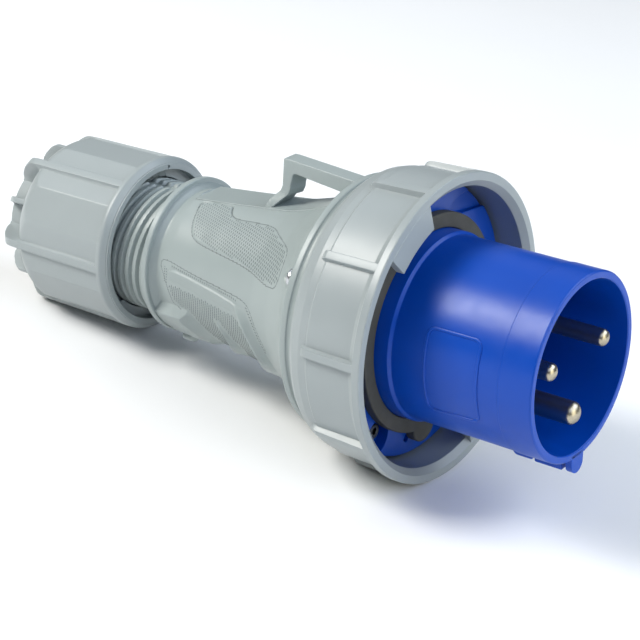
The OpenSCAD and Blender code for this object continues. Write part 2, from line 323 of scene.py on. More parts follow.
# ------------------------------------------------------------------ the grip
GRIP = soft([-160, -157.8, -156, -152, -140, -134, -130, -119, -111, -102, -97, -94, -92, -88, -84],
            [24.6, 24.6, 24.6, 25.3, 26.3, 27.2, 27.6, 29.2, 30.5, 33.3, 35.7, 37.0, 38.5, 41.7, 44.7], 1.0)
SPINE = soft([-160, -151.8, -134.3, -119.4, -111.7, -102.4, -94.2, -88, -80],
             [24.75, 25.3, 27.2, 29.0, 29.9, 32.6, 35.9, 40.4, 45.4], 1.4)
UPPER = chaikin([(-149.4, 16.6), (-148.5, 28), (-147.3, 38), (-145.6, 46.5), (-143.4, 51.5), (-140, 54.2), (-130, 57.5),
                 (-120, 60.2), (-113, 63), (-107, 67), (-103, 68.6), (-99.4, 68.4), (-98.1, 65), (-98.0, 58),
                 (-98.2, 49), (-99.5, 45), (-103, 41), (-107.5, 36), (-111, 31), (-115, 29), (-122, 28.4),
                 (-130.5, 28), (-133.3, 25), (-134.7, 20), (-135.1, 16.6)], 2)
LOWER = chaikin([(-155.3, 78), (-154.6, 73.6), (-152, 72.8), (-148, 74.4), (-140, 77.5), (-130, 79.5), (-120, 81.5),
                 (-115.5, 82.5), (-112.6, 84.6), (-110.4, 89.5), (-108.6, 96), (-106.2, 104), (-103.8, 112.5), (-101.3, 124),
                 (-100, 150), (-100, 200), (-133, 200), (-133.5, 150), (-136, 133), (-141, 123), (-145, 113),
                 (-150, 109), (-150.6, 103), (-152.6, 89)], 2)
BAND = chaikin([(-151.6, 84), (-150.9, 78.9), (-148, 78.6), (-140, 80.4), (-130, 82.9), (-120, 85.8), (-117.3, 87.6),
                (-115.6, 91.5), (-114.2, 96), (-114.6, 100), (-116.2, 101), (-117.2, 97.5), (-119.2, 95.2), (-128, 94.0),
                (-135, 92.6), (-150, 89.8)], 2)


def ridge(x, s, crest, foot, height, step):
    """A ridge running round the grip: a short step up on its left, a crest and a wall falling to its foot."""
    xc, xf, h = np.interp(s, *crest), np.interp(s, *foot), np.interp(s, *height)
    left = ramp(0, 1, (x - (xc - step)) / step)
    wall = np.clip(1 - (x - xc) / np.maximum(xf - xc, 0.6), 0, 1)
    body = np.minimum(left, wall) - 0.06 * np.exp(-((x - xc) / 0.35) ** 2)
    return h * np.maximum(body, 0)


def ridge_one(x, s):
    return ridge(x, s, ([86, 92, 98, 104, 110, 116, 122, 128, 136, 150, 180],
                        [-118.8, -116.7, -113.9, -111.8, -109.8, -108.2, -107.9, -108.9, -110.5, -113.6, -115.5]),
                 ([84, 87.5, 95, 103.75, 112.5, 122.5, 130, 150, 180],
                  [-114.6, -113.2, -110.75, -108.2, -105.7, -103.2, -102.8, -105, -107]),
                 ([86, 89, 92, 98, 104, 110, 116, 122, 136, 150, 180], [0, 0.7, 1.5, 2.6, 3.1, 3.3, 3.2, 2.8, 2.1, 1.5, 1.3]),
                 1.5)


def ridge_two(x, s):
    return ridge(x, s, ([108, 114, 120, 126, 134, 142, 150, 180],
                        [-129.2, -127.7, -126.1, -124.9, -125.6, -127.3, -129, -131]),
                 ([108, 111.25, 116.25, 121.25, 126.9, 131.25, 150, 180],
                  [-128.2, -127.4, -125.6, -124.0, -121.8, -120.6, -122.5, -124.5]),
                 ([108, 109.5, 114, 120, 126, 134, 142, 150, 180], [0, 0.45, 0.95, 1.5, 1.9, 1.9, 1.6, 1.3, 1.2]), 0.8)


def ridge_three(x, s):
    """The lip under the collar: a thumb along the axis that turns down and falls to a wall."""
    top = np.interp(x, [-159, -156, -150, -146.5, -143], [113.5, 112.5, 110.8, 110.9, 111.5])
    xc = np.interp(s, [108, 112, 121.6, 126, 131, 135, 150, 180], [-147.5, -146.6, -146.3, -144.6, -143, -142.4, -141.6, -142])
    xf = np.interp(s, [108, 112, 115, 122.5, 130, 134, 150, 180], [-145.5, -143.4, -142, -140, -137.6, -136.4, -134.5, -135])
    h = np.interp(x, [-160, -157.5, -156, -152, -147, -143, -138], [2.7, 3.0, 3.4, 3.2, 3.0, 2.7, 2.6])
    return h * np.minimum(np.clip((s - top) / 6.2, 0, 1), np.clip((xf - x) / np.maximum(xf - xc, 0.8), 0, 1))


def grip_radius(x, s, detail=True):
    """Radius of the grip at X and at s degrees from the top, alike on both sides."""
    x, s = np.broadcast_arrays(np.asarray(x, float), np.asarray(s, float))
    base = GRIP(x)
    # broad swelling beside the spine
    z = SPINE(x)
    half = 7.3
    edge = np.hypot(z, half)
    s_edge = np.degrees(np.arctan2(half, z))
    swell = np.maximum(edge - 0.42 - base, 0) * (1 - ramp(s_edge, s_edge + 17, s)) * ramp(-157, -152, x)
    r = base + swell
    # gathered lower edge
    under = ramp(112, 152, s) * ramp(-158, -154, x) * (1 - ramp(-103, -97, x))
    r = r + 0.45 * under
    if detail:
        # upper grip field: inlay with a rounded border standing in a fine groove
        d = inside_distance(x, s, UPPER)
        r = r + 0.2 * ramp(0.15, -0.75, d) - 0.42 * np.exp(-(d / 0.24) ** 2)
        # lower grip field
        d = inside_distance(x, s, LOWER)
        fade = 1 - ramp(104, 122, s) * ramp(-112, -104, x)
        r = r - 0.22 * ramp(0.3, -0.3, d) * (1 - ramp(-112, -104, x)) - 0.36 * np.exp(-(d / 0.26) ** 2) * fade * (s < 112)
    # smooth band, upper part
    d = inside_distance(x, s, BAND)
    s_top = np.interp(x, [-150, -140, -130, -120, -116], [78.8, 80.6, 83.1, 85.8, 89])
    s_bot = np.interp(x, [-150, -135, -120, -116], [89.8, 92.6, 95.2, 98.5])
    up = 0.85 * ramp(0.1, -0.85, d) * (1 - 0.85 * np.clip((s - s_top - 1.5) / (s_bot - s_top - 1.5), 0, 1))
    # three finger ridges on the lower side
    r = r + np.maximum(up, np.maximum(ridge_one(x, s), ridge_two(x, s)))
    r = np.maximum(r, base + ridge_three(x, s))
    # room for the flat-topped spine
    flat = (z - 0.15) / np.maximum(np.cos(np.radians(np.minimum(s, 60))), 0.3)
    r = np.where((s < s_edge + 2) & (x > -153.4), np.minimum(r, flat), r)
    # concave root at the collar
    r = np.maximum(r, 26.6 - 1.9 * ramp(-159.2, -156.6, x) - 8 * ramp(-157.2, -155.5, x))
    return r


SCREW_A = (150.0, 330.0)


def outer_radius(x, a, detail=True):
    s = np.abs((np.asarray(a, float) - 90 + 180) % 360 - 180)
    r = grip_radius(x, s, detail)
    for a0 in SCREW_A:
        dl = np.radians((np.asarray(a, float) - a0 + 180) % 360 - 180)
        q = 3.9 ** 2 - (40.2 * np.sin(dl)) ** 2
        ch = 40.2 * np.cos(dl) - np.sqrt(np.maximum(q, 0))
        hit = (q > 0) & (np.cos(dl) > 0) & (x > -99) & (x < -87.45)
        r = np.where(hit, np.minimum(r, ch), r)
    return r


def grip_half(shell, a_from, a_to, n):
    """Half of the grip's skin with its wall, closed round its own edges."""
    xs = np.concatenate([np.arange(-159.15, -157.5, 0.3), np.arange(-157.4, -96.9, 0.285), np.arange(-96.7, -88.0, 0.36),
                         [-87.95, -87.75, -87.6, -87.5]])
    a = np.linspace(a_from, a_to, n)
    X, A = np.meshgrid(xs, a, indexing="ij")
    R = outer_radius(X, A)
    R[0, :] = 26.9
    rim = [(-87.47, 43.6), (-87.42, 44.6), (-87.25, 45.05), (-86.9, 45.28), (-86.5, 45.3), (-85.2, 45.3), (-84.8, 45.2),
           (-84.55, 44.95), (-84.5, 44.6), (-84.5, 43.4)]
    inner = [(-84.5, 38), (-94, 33.4), (-102, 30), (-116, 26.2), (-132, 24), (-148, 22.2), (-156, 20.5), (-159.15, 20.5)]
    rows = [np.stack([X, R, A], -1)]
    for (x, r) in rim + inner:
        row = np.empty((1, n, 3))
        row[0, :, 0], row[0, :, 1], row[0, :, 2] = x, r, a
        rows.append(row)
    G = np.concatenate(rows, 0)
    V = np.stack([G[..., 0], G[..., 1] * np.cos(np.radians(G[..., 2])), G[..., 1] * np.sin(np.radians(G[..., 2]))], -1)
    m = len(G)
    q = grid_quads(m, n, wrap_u=True, wrap_v=False)
    # faces that lie in the fine grooves get the darker grey: painted shade along the grooves
    k = len(xs)
    S = np.abs((A - 90 + 180) % 360 - 180)
    low = np.minimum(np.abs(inside_distance(X, S, UPPER)),
                     np.abs(inside_distance(X, S, LOWER)) + 9.0 * ((S > 112) | (X > -104)))
    mid = (low[:-1, :-1] + low[1:, :-1] + low[:-1, 1:] + low[1:, 1:]) / 4
    groove_shade_faces = np.zeros((m, n - 1), bool)
    groove_shade_faces[:k - 1] = (mid < 0.18) & (S[:-1, :-1] > 17.5)
    groove_shade_faces = groove_shade_faces.reshape(-1)
    shell.add_np(V, q[~groove_shade_faces], 0)
    shell.add_np(V, q[groove_shade_faces], 1)
    # the two long edges, closed where the halves meet
    shell.add(V[:, 0, :], [tuple(range(m))])
    shell.add(V[:, -1, :], [tuple(range(m))[::-1]])


def ticks(shell, xs, ss, side, direction, length, width, height, lift=0.0):
    """Fine moulded dashes on the grip; side is -1 for the near half, 1 for the far half."""
    dx, ds = direction
    L = math.hypot(dx, ds)
    ux, us = dx / L, ds / L
    nx, ns = -us, ux
    xs, ss = np.asarray(xs), np.asarray(ss)
    corners = []
    for (h, k) in ((-0.16, 1.25), (height, 0.55)):
        for (i, j) in ((-1, -1), (1, -1), (1, 1), (-1, 1)):
            cx = xs + (i * ux * length / 2 + j * nx * width / 2 * (k if h > 0 else 1.0))
            cs = ss + (i * us * length / 2 + j * ns * width / 2 * (k if h > 0 else 1.0)) / ARC
            a = 90 + cs if side < 0 else 90 - cs
            r = outer_radius(cx, a, detail=True) + h + lift
            corners.append(np.stack([cx, r * np.cos(np.radians(a)), r * np.sin(np.radians(a))], -1))
    V = np.stack(corners, 1)
    n = len(xs)
    f = np.array([[4, 5, 6, 7], [0, 1, 5, 4], [1, 2, 6, 5], [2, 3, 7, 6], [3, 0, 4, 7], [3, 2, 1, 0]])
    Q = (np.arange(n)[:, None, None] * 8 + f[None]).reshape(-1, 4)
    shell.add_np(V.reshape(-1, 3), Q)


# ------------------------------------------------------------------ materials
def material(name, dark, light, rough, grain=900.0, bump=0.05, metal=0.0, coat=0.0, spec=0.5, cloud=26.0,
             second=None, bump_dist=0.0002, streak=None):
    """Moulded or metal finish: clouded colour, uneven roughness and a fine grain in the surface."""
    m = bpy.data.materials.new(name)
    m.use_nodes = True
    nt = m.node_tree
    nt.nodes.clear()
    out = nt.nodes.new("ShaderNodeOutputMaterial")
    b = nt.nodes.new("ShaderNodeBsdfPrincipled")
    nt.links.new(b.outputs["BSDF"], out.inputs["Surface"])
    b.inputs["Metallic"].default_value = metal
    b.inputs["Coat Weight"].default_value = coat
    b.inputs["Coat Roughness"].default_value = 0.12
    b.inputs["Specular IOR Level"].default_value = spec
    tc = nt.nodes.new("ShaderNodeTexCoord")
    mp = nt.nodes.new("ShaderNodeMapping")
    nt.links.new(tc.outputs["Object"], mp.inputs["Vector"])
    if streak:
        mp.inputs["Scale"].default_value = streak
    n1 = nt.nodes.new("ShaderNodeTexNoise")
    n1.inputs["Scale"].default_value = cloud
    n1.inputs["Detail"].default_value = 5.0
    n1.inputs["Roughness"].default_value = 0.6
    nt.links.new(mp.outputs["Vector"], n1.inputs["Vector"])
    cr = nt.nodes.new("ShaderNodeValToRGB")
    cr.color_ramp.elements[0].position, cr.color_ramp.elements[1].position = 0.33, 0.67
    cr.color_ramp.elements[0].color = (*dark, 1)
    cr.color_ramp.elements[1].color = (*light, 1)
    nt.links.new(n1.outputs["Fac"], cr.inputs["Fac"])
    nt.links.new(cr.outputs["Color"], b.inputs["Base Color"])
    n2 = nt.nodes.new("ShaderNodeTexNoise")
    n2.inputs["Scale"].default_value = cloud * 6
    n2.inputs["Detail"].default_value = 4.0
    nt.links.new(mp.outputs["Vector"], n2.inputs["Vector"])
    mr = nt.nodes.new("ShaderNodeMapRange")
    mr.inputs["From Min"].default_value, mr.inputs["From Max"].default_value = 0.3, 0.7
    mr.inputs["To Min"].default_value, mr.inputs["To Max"].default_value = rough[0], rough[1]
    nt.links.new(n2.outputs["Fac"], mr.inputs["Value"])
    nt.links.new(mr.outputs["Result"], b.inputs["Roughness"])
    n3 = nt.nodes.new("ShaderNodeTexNoise")
    n3.inputs["Scale"].default_value = grain
    n3.inputs["Detail"].default_value = 2.0
    nt.links.new(mp.outputs["Vector"], n3.inputs["Vector"])
    bp = nt.nodes.new("ShaderNodeBump")
    bp.inputs["Strength"].default_value = bump
    bp.inputs["Distance"].default_value = bump_dist
    nt.links.new(n3.outputs["Fac"], bp.inputs["Height"])
    nt.links.new(bp.outputs["Normal"], b.inputs["Normal"])
    return m


def lin(r, g, b):
    f = lambda c: (c / 255 / 12.92) if c <= 10.3 else ((c / 255 + 0.055) / 1.055) ** 2.4
    return (f(r), f(g), f(b))


GREY = material("housing_grey", lin(150, 160, 159), lin(153, 163, 162), (0.33, 0.38), grain=2600, bump=0.22,
                bump_dist=0.00001, spec=0.55)
# darker copy of the housing grey: painted shade for the fine grooves and the grip's dashes
GREY_GROOVE_SHADE = material("housing_grey_painted_shade", lin(112, 120, 120), lin(122, 130, 129), (0.45, 0.6), grain=2600, bump=0.3,
                     bump_dist=0.00001)
COOL = material("ring_grey", lin(151, 159, 160), lin(154, 162, 163), (0.32, 0.37), grain=2600, bump=0.22,
                bump_dist=0.00001, spec=0.55)
BLUE = material("shell_blue", lin(0, 66, 168), lin(0, 71, 176), (0.3, 0.38), grain=2600, bump=0.2, bump_dist=0.00001,
                spec=0.34)
DARK = material("dark_plastic", lin(40, 41, 43), lin(50, 51, 53), (0.45, 0.6), grain=2000, bump=0.3, bump_dist=0.00002)
BRASS = material("nickel_brass", lin(176, 166, 146), lin(188, 179, 159), (0.26, 0.36), grain=1500, bump=0.2, metal=1.0,
                 streak=(0.2, 1.0, 1.0), bump_dist=0.00001)
ZINC = material("zinc_steel", lin(196, 198, 202), lin(214, 216, 220), (0.2, 0.32), grain=1500, bump=0.2, metal=1.0,
                bump_dist=0.00001)
DULL = material("oxide_steel", lin(60, 62, 66), lin(78, 80, 84), (0.3, 0.45), grain=1500, bump=0.2, metal=1.0,
                bump_dist=0.00001)
RUBBER = material("black_rubber", lin(24, 24, 24), lin(34, 34, 34), (0.6, 0.8), grain=1800, bump=0.5,
                  bump_dist=0.00003)
GASKET = material("grey_rubber", lin(64, 64, 60), lin(74, 74, 69), (0.6, 0.78), grain=1800, bump=0.5,
                  bump_dist=0.00003)

# ------------------------------------------------------------------ housing: the grip
# grip skin; its second material is the darker grey, painted shade in the fine grooves
for tag, a0, a1 in (("near", 90.0, 270.0), ("far", -90.0, 90.0)):
    sh = Shell()
    grip_half(sh, a0, a1, 297)
    make("housing_grip_" + tag, sh, "plug", [GREY, GREY_GROOVE_SHADE], ["handle_housing"], sharp=44)


# fine moulded texture of both halves: real raised dashes, coloured darker grey as painted shade
def inside(x, s, poly, gap):
    return inside_distance(x, s, poly) < -gap


def band_top(x):
    return np.interp(x, [-150, -140, -130, -120, -116], [78.9, 80.9, 83.2, 85.5, 88])


def field_top(x):
    return np.interp(x, [-153, -150, -140, -130, -120, -115.5], [73.5, 73.9, 77.3, 79.4, 81.5, 82.5])


gx, gs = [], []
for k in range(-8, 44):
    s_row = 6.0 + 2.4 * k
    j = np.arange(0, 60)
    x = -151.0 + 1.05 * j + (0.525 if k % 2 else 0.0)
    s = s_row + 0.6 * (x + 125.0)
    ok = inside(x, s, UPPER, 0.85) & (s > 18.3)
    gx.append(x[ok])
    gs.append(s[ok])
GX, GS = np.concatenate(gx), np.concatenate(gs)

lx, ls = [], []
for k in range(0, 38):
    for i in range(-16, 72):
        s = 80.0 + 2.3 * k + (1.15 if i % 2 else 0.0)
        x = -160.0 + 0.94 * i - 0.12 * (s - 110)
        lx.append(x)
        ls.append(s)
lx, ls = np.array(lx), np.array(ls)
lower_edge = np.interp(lx, [-150, -135, -120], [90.0, 92.6, 95.2])
ok = (inside_distance(lx, ls, LOWER) < -1.2) & (inside_distance(lx, ls, BAND) > 0.9) & (ls > lower_edge + 1.9)
for shift in (-0.9, 0.0, 0.9):
    for turn in (-2.0, 0.0, 2.0):
        ok &= (ridge_one(lx + shift, ls + turn) < 0.12) & (ridge_two(lx + shift, ls + turn) < 0.12)
        ok &= ridge_three(lx + shift, ls + turn) < 0.12
ok &= (lx < np.interp(ls, [86, 92, 98, 104, 110, 116, 122, 128, 136, 150], [-118.8, -117.6, -114.8, -112.7, -110.7, -109, -108.8, -109.6,
                                                                             -111.4, -114.6])) & (ls < 160)
LX, LS = lx[ok], ls[ok]
# single row above the smooth band and two columns at its left
tx = np.arange(-149.5, -117.0, 1.02)
ts = (band_top(tx) + field_top(tx)) / 2 + 0.1
rs = np.arange(87.0, 114.0, 1.75)
rx = np.interp(rs, [84, 87.5, 95, 103.75, 112.5, 122.5], [-114.6, -113.2, -110.75, -108.2, -105.7, -103.2]) + 0.65
cx = np.concatenate([np.full(7, -153.0), np.full(6, -152.0)])
cs = np.concatenate([np.linspace(78.5, 90.5, 7), np.linspace(80.0, 91.0, 6)])
# the dashes take the darker grey: painted shade standing for the shade of moulded grooves
for tag, side in (("near", -1), ("far", 1)):
    sh = Shell()
    ticks(sh, GX, GS, side, (0.06, 1.0), 0.78, 0.36, 0.10)
    ticks(sh, LX, LS, side, (-0.12, 0.4887), 0.88, 0.3, 0.09)
    ticks(sh, tx, ts, side, (0.2, 1.0), 0.62, 0.34, 0.10)
    ticks(sh, rx, rs, side, (1.0, 0.25), 0.75, 0.34, 0.10)
    ticks(sh, cx, cs, side, (0.3, 1.0), 0.42, 0.34, 0.10)
    make("housing_dashes_painted_shade_" + tag, sh, "plug", [GREY_GROOVE_SHADE], ["handle_housing"], sharp=30, weld=False)

# collar, spigot behind the ring, eye, tab under the grip, screw seats
def eye_shape(pq):
    q = pq.copy()
    leg = (q[:, 0] < -111.5) & (q[:, 1] < 41.9)
    inner = leg & (q[:, 0] > -116.9)
    # the leg thickens toward its far side, and its foot spreads over the spine
    q[:, 0] += np.where(inner, 1.9 * (3.3 - pq[:, 2]) / 6.6 * ramp(29.5, 33.5, pq[:, 1]), 0)
    q[:, 2] *= np.where(pq[:, 0] < -111.5, 1 + 0.95 * ramp(34.5, 28.5, pq[:, 1]), 1)
    return in_radial(90)(q)


sh = Shell()
lathe(sh, [(19.5, -158.9), (27.9, -158.95, 0.35), (28.2, -159.35, 0.2), (28.2, -161.1, 0.3), (27.75, -161.5, 0.3),
           (19.5, -161.5)], 220, seg=4)
lathe(sh, [(36, -84.9), (45.1, -84.9), (44.6, -83.9, 1.2), (44.75, -82.25, 0.2), (43, -82.15), (43, -69.1, 0.4), (42.5, -68.6),
           (36, -68.6)], 200)
plate(sh, [fillet([(-124.9, 26.2), (-121.7, 31.6, 6), (-118.6, 34.6, 4), (-117.8, 36.4, 3), (-117.15, 46.4, 0.5),
                   (-114.8, 46.45, 0.6), (-86.5, 44.5), (-86, 31), (-91, 31), (-91.3, 38.2, 2.2), (-93.6, 39.6, 2.5),
                   (-113.1, 41.75, 1.2), (-114.2, 37.4, 1), (-114.4, 35.6, 3), (-115.4, 33.6, 4), (-117.5, 31.4),
                   (-120.2, 28.6), (-120.2, 25.6)], 5, closed=True)], -3.3, 3.3, eye_shape, rho=0.38, seg=4)
plate(sh, [fillet([(-152.4, 25.6), (-152.0, 30.15, 1.3), (-149.0, 30.15, 1.3), (-146.6, 27.6, 0.8), (-146.4, 25.6)], 5,
                  closed=True)], -2.5, 2.5, in_radial(238), rho=0.7)
for a in SCREW_A:
    cy, cz = polar(40.2, a)
    lathe(sh, [(1.75, -87.5), (4.6, -87.5), (4.6, -85.5), (1.75, -85.5)], 40, centre=(cy, cz))
zs = np.arange(-153.2, -87.9, 0.9)
plate(sh, [[(-153.4, 20.0), (-153.4, 24.3)] + [(float(x), float(SPINE(x))) for x in zs] + [(-88.0, float(SPINE(-88.0))),
                                                                                      (-88.0, 20.0)]], -7.3, 7.3,
      in_radial(90), rho=0.28, seg=3)
make("housing_collar_eye", sh, "plug", [GREY], ["handle_housing"], sharp=40)

# threaded neck: six starts, the ridges stop at the two parting lines
n = 240
ang = np.arange(n) * 360.0 / n
xs = np.arange(-161.3, -194.7, -0.27)
X, A = np.meshgrid(xs, ang, indexing="ij")
PITCH6, LEAD = 20.0 / 6.0, 20.0 / 360.0
u = (X + 168.3 + LEAD * (A - 150.0) + PITCH6 / 2) % PITCH6 - PITCH6 / 2
part = np.minimum(np.abs((A - 90 + 180) % 360 - 180), np.abs((A - 270 + 180) % 360 - 180))
crest = ramp(0.35, 0.95, np.abs(u)) * ramp(2.5, 5.0, part)
land = ramp(-165.1, -164.6, X)
R = 22.55 + 1.33 * np.maximum(crest, land)
R = R - 1.4 * ramp(-193.9, -195.5, X)
rows = [np.stack([X, R, A], -1)]
for (x, r) in [(-195.2, 22.3), (-195.5, 21.9), (-195.5, 19.3), (-195.2, 19.0), (-176, 19), (-176, 17), (-161.3, 17)]:
    row = np.empty((1, n, 3))
    row[0, :, 0], row[0, :, 1], row[0, :, 2] = x, r, ang
    rows.append(row)
G = np.concatenate(rows, 0)
sh = Shell()
V = np.stack([G[..., 0], G[..., 1] * np.cos(np.radians(G[..., 2])), G[..., 1] * np.sin(np.radians(G[..., 2]))], -1)
sh.add_np(V, grid_quads(len(G), n, wrap_u=True))
make("housing_neck_thread", sh, "plug", [GREY], ["handle_housing"], sharp=40)

# ------------------------------------------------------------------ gland nut
n = 432
ang = np.arange(n) * 360.0 / n
corner_a = np.array([120.9 + 60 * i + k for i in range(6) for k in (0, 17.4, 42.6)])
corner_r = np.array([30.5, 31.5, 31.5] * 6)
order = np.argsort(corner_a % 360)
ca, cr_ = (corner_a % 360)[order], corner_r[order]
ca = np.concatenate([ca[-1:] - 360, ca, ca[:1] + 360])
cr_ = np.concatenate([cr_[-1:], cr_, cr_[:1]])


def flats(a):
    """Radius of the many-sided body at angle a."""
    i = np.clip(np.searchsorted(ca, a, side="right") - 1, 0, len(ca) - 2)
    a0, a1 = np.radians(ca[i]), np.radians(ca[i + 1])
    r0, r1 = cr_[i], cr_[i + 1]
    t = np.radians(a)
    den = r0 * np.sin(t - a0) + r1 * np.sin(a1 - t)
    return r0 * r1 * np.sin(a1 - a0) / den


rho_a = flats(ang)
outer = [(-176.3, 28.0), (-176.3, 29.0), (-176.28, 29.6), (-175.95, 29.9), (-176.0, 30.2), (-177.15, 31.45),
         (-177.4, 31.7), (-177.75, 31.93), (-178.1, 32.0), (-178.9, 32.0), (-179.3, 31.9), (-179.55, 31.6)]
prof = [(x, np.full(n, r)) for x, r in outer]
for x in list(np.arange(-179.7, -213, -1.5)):
    taper = 33 + (x + 179) * (33 - 31.6) / 34.0
    prof.append((x, np.minimum(rho_a, taper)))
for x, r in [(-213, 31.6), (-214.2, 31.4), (-215.2, 31.1), (-216.3, 30.7), (-217.3, 30.2), (-218.3, 29.6),
             (-219.2, 28.8), (-219.7, 28.0), (-220, 27)]:
    prof.append((x, np.minimum(rho_a - 0.02, r)))
for x, r in [(-220.05, 25.5), (-220.1, 21.2), (-220.4, 20.7), (-221, 20.5), (-231.0, 20.3), (-231.45, 20.15),
             (-231.7, 19.8), (-231.7, 15.6), (-231.5, 15.1), (-229.7, 13.1), (-229.3, 13.0), (-217, 13.0), (-213, 16.5),
             (-213, 23.2)]:
    prof.append((x, np.full(n, r)))
for x in np.arange(-212.9, -179.35, 0.42):
    u = (x + 179.3 + LEAD * (ang - 57.5) + PITCH6 / 2) % PITCH6 - PITCH6 / 2
    ridge = ramp(1.0, 0.72, np.abs(u))
    prof.append((x, 26.0 - 1.7 * ridge))
u = (LEAD * (ang - 57.5) + PITCH6 / 2) % PITCH6 - PITCH6 / 2
prof.append((-179.3, 26.0 - 1.7 * ramp(1.0, 0.72, np.abs(u))))
prof.append((-179.2, 26.15 - 1.6 * ramp(1.0, 0.72, np.abs(u))))
for x, r in [(-179.15, 27.5), (-179.0, 27.75), (-176.6, 27.8), (-176.3, 27.85)]:
    prof.append((x, np.full(n, r)))
V = np.empty((len(prof), n, 3))
for k, (x, r) in enumerate(prof):
    V[k, :, 0] = x
    V[k, :, 1] = r * np.cos(np.radians(ang))
    V[k, :, 2] = r * np.sin(np.radians(ang))
sh = Shell()
sh.add_np(V, grid_quads(len(prof), n, wrap_u=True))
for i in range(6):
    st = [(-231.65, 21.4, 20.2), (-231.45, 22.1, 20.2), (-230.6, 23.6, 20.2), (-229.6, 25.0, 20.2), (-228.4, 26.7, 20.2),
          (-227.2, 28.0, 20.2), (-226.0, 29.2, 20.2), (-225.0, 30.0, 20.2), (-224.0, 30.75, 20.2), (-223.0, 31.1, 20.2),
          (-222.0, 31.3, 20.2), (-220.3, 31.4, 20.2), (-220.05, 31.4, 25.5), (-219.9, 31.4, 27.3), (-219.2, 31.43, 28.6),
          (-217.3, 31.47, 29.7), (-215.2, 31.5, 30.0), (-211, 31.55, 30.3), (-200, 31.65, 30.4), (-190, 31.8, 30.45),
          (-181, 31.9, 30.45), (-179.2, 31.95, 30.45)]
    rib(sh, 120.9 + 60 * i, st, 0, 1.45, 0.95, rho=0.4)
    st = [(-231.65, 21.4, 20.2), (-231.4, 22.1, 20.2), (-230.2, 23.9, 20.2), (-229.2, 24.9, 20.2), (-227.9, 26.3, 20.2),
          (-226.7, 27.2, 20.2), (-225.6, 27.75, 20.2), (-224.6, 27.95, 20.2), (-220.5, 28.0, 20.2), (-218, 28.0, 20.2)]
    rib(sh, 150.9 + 60 * i, st, 0, 1.0, 0.35, rho=0.3)
plate(sh, [[polar(29.95, 2.0 * k) for k in range(180)], [polar(27.8, 2.0 * k) for k in range(180)],
           [(28.75 * math.cos(rad(80)) + 0.62 * math.cos(rad(t)), 28.75 * math.sin(rad(80)) + 0.62 * math.sin(rad(t)))
            for t in range(0, 360, 20)]], -176.6, -175.5, in_section, rho=0.18, rho0=0.02)
make("gland_nut_body", sh, "gland_nut", [COOL], ["gland_nut"], sharp=32)

# ------------------------------------------------------------------ locking ring
sh = Shell()
lathe(sh, [(50.4, -49.75, 0.1), (53.32, -49.75, 0.4), (53.32, -52.55, 0.45), (52.5, -52.98, 0.3), (51.5, -53.7, 0.8),
           (50.95, -55.2, 1.2), (50.6, -72.3, 0.35), (50.05, -73.0, 0.35), (49.9, -76, 2), (49.0, -79.2, 2),
           (47.8, -80.9, 1), (46.3, -81.6, 1), (45.0, -82.0, 0.2), (43.4, -82.0, 0.3), (43.4, -69.2), (48.2, -69.2, 0.6),
           (48.2, -51.7, 0.4)], 288, seg=4)
for i in range(10):
    st = [(-52.4, 53.25, 49.9), (-53.2, 53.2, 49.9), (-60, 52.9, 49.95), (-68, 52.6, 49.9), (-71.9, 52.45, 49.9),
          (-72.8, 52.3, 49.7), (-73.5, 51.9, 49.4), (-74.0, 51.2, 49.3), (-74.3, 50.3, 49.2), (-74.42, 49.6, 49.1)]
    rib(sh, 139.2 + 36 * i, st, 0, 1.45, 0.95, rho=0.3)
for a in (107.0, 287.0):
    b0 = [(*polar(41.0, a), 0.5)]
    lp = [(*polar(50.3, a + 27.5 * k / 24),) for k in range(25)]
    lp += [(*polar(41.0, a + 27.5), 0.6)] + [(*polar(41.0, a + 26.2 - 24.9 * k / 20),) for k in range(21)] + b0
    plate(sh, [fillet(lp, 5, closed=True)], -53.0, -49.78, in_section, rho=0.3, rho0=0.3, seg=3)
make("locking_ring_body", sh, "locking_ring", [COOL], ["bayonet_ring"], sharp=36)

# ------------------------------------------------------------------ blue front shell
sh = Shell()
lathe(sh, [(29.3, -0.25, 0.3), (29.75, 0.0, 0.3), (31.55, 0.0, 0.45), (32.0, -0.45, 0.35), (31.98, -12.0, 0.1),
           (31.78, -12.25, 0.1), (31.72, -13.8), (31.7, -52.2, 0.6), (32.6, -53.2, 0.5), (32.6, -63.0), (29.3, -63.0),
           (29.3, -51.0), (0.0, -51.0)][:-1] + [(10.0, -51.0), (10.0, -48.0), (27.0, -48.0), (29.3, -45.6)], 288,
      seg=4)
lathe(sh, [(0.0, -44.98), (26.5, -44.98), (28.4, -44.8, 0.8), (29.45, -43.8, 0.8), (29.6, -42.0), (30.2, -42.0),
           (30.2, -50.98), (0.0, -50.98)], 200, closed=False, seg=5)
# flange: back layer, front layer with its two screw pockets, spigot
lathe(sh, [(29.3, -65.5), (46.7, -65.5, 0.2), (47.0, -65.8, 0.2), (47.0, -68.1, 0.3), (46.6, -68.5, 0.3), (35.7, -68.5),
           (35.7, -72.6, 0.2), (34.2, -72.6), (34.2, -74.8), (35.7, -74.8, 0.2), (35.7, -77.4, 0.4), (35.1, -78),
           (33, -78), (33, -66.5)], 240)
half_gap = math.degrees(math.asin(4.5 / 47.0))
FINGER = [(46.99, 1.0), (46.3, 1.6), (44.2, 4.1), (41.0, 7.1), (39.3, 8.0), (37.4, 8.2), (37.4, 2.5), (39.3, -0.8),
          (45.4, -12.2)]


def turned(points, a):
    c, s_ = math.cos(rad(a)), math.sin(rad(a))
    return [(p * c - q * s_, p * s_ + q * c) for p, q in points]


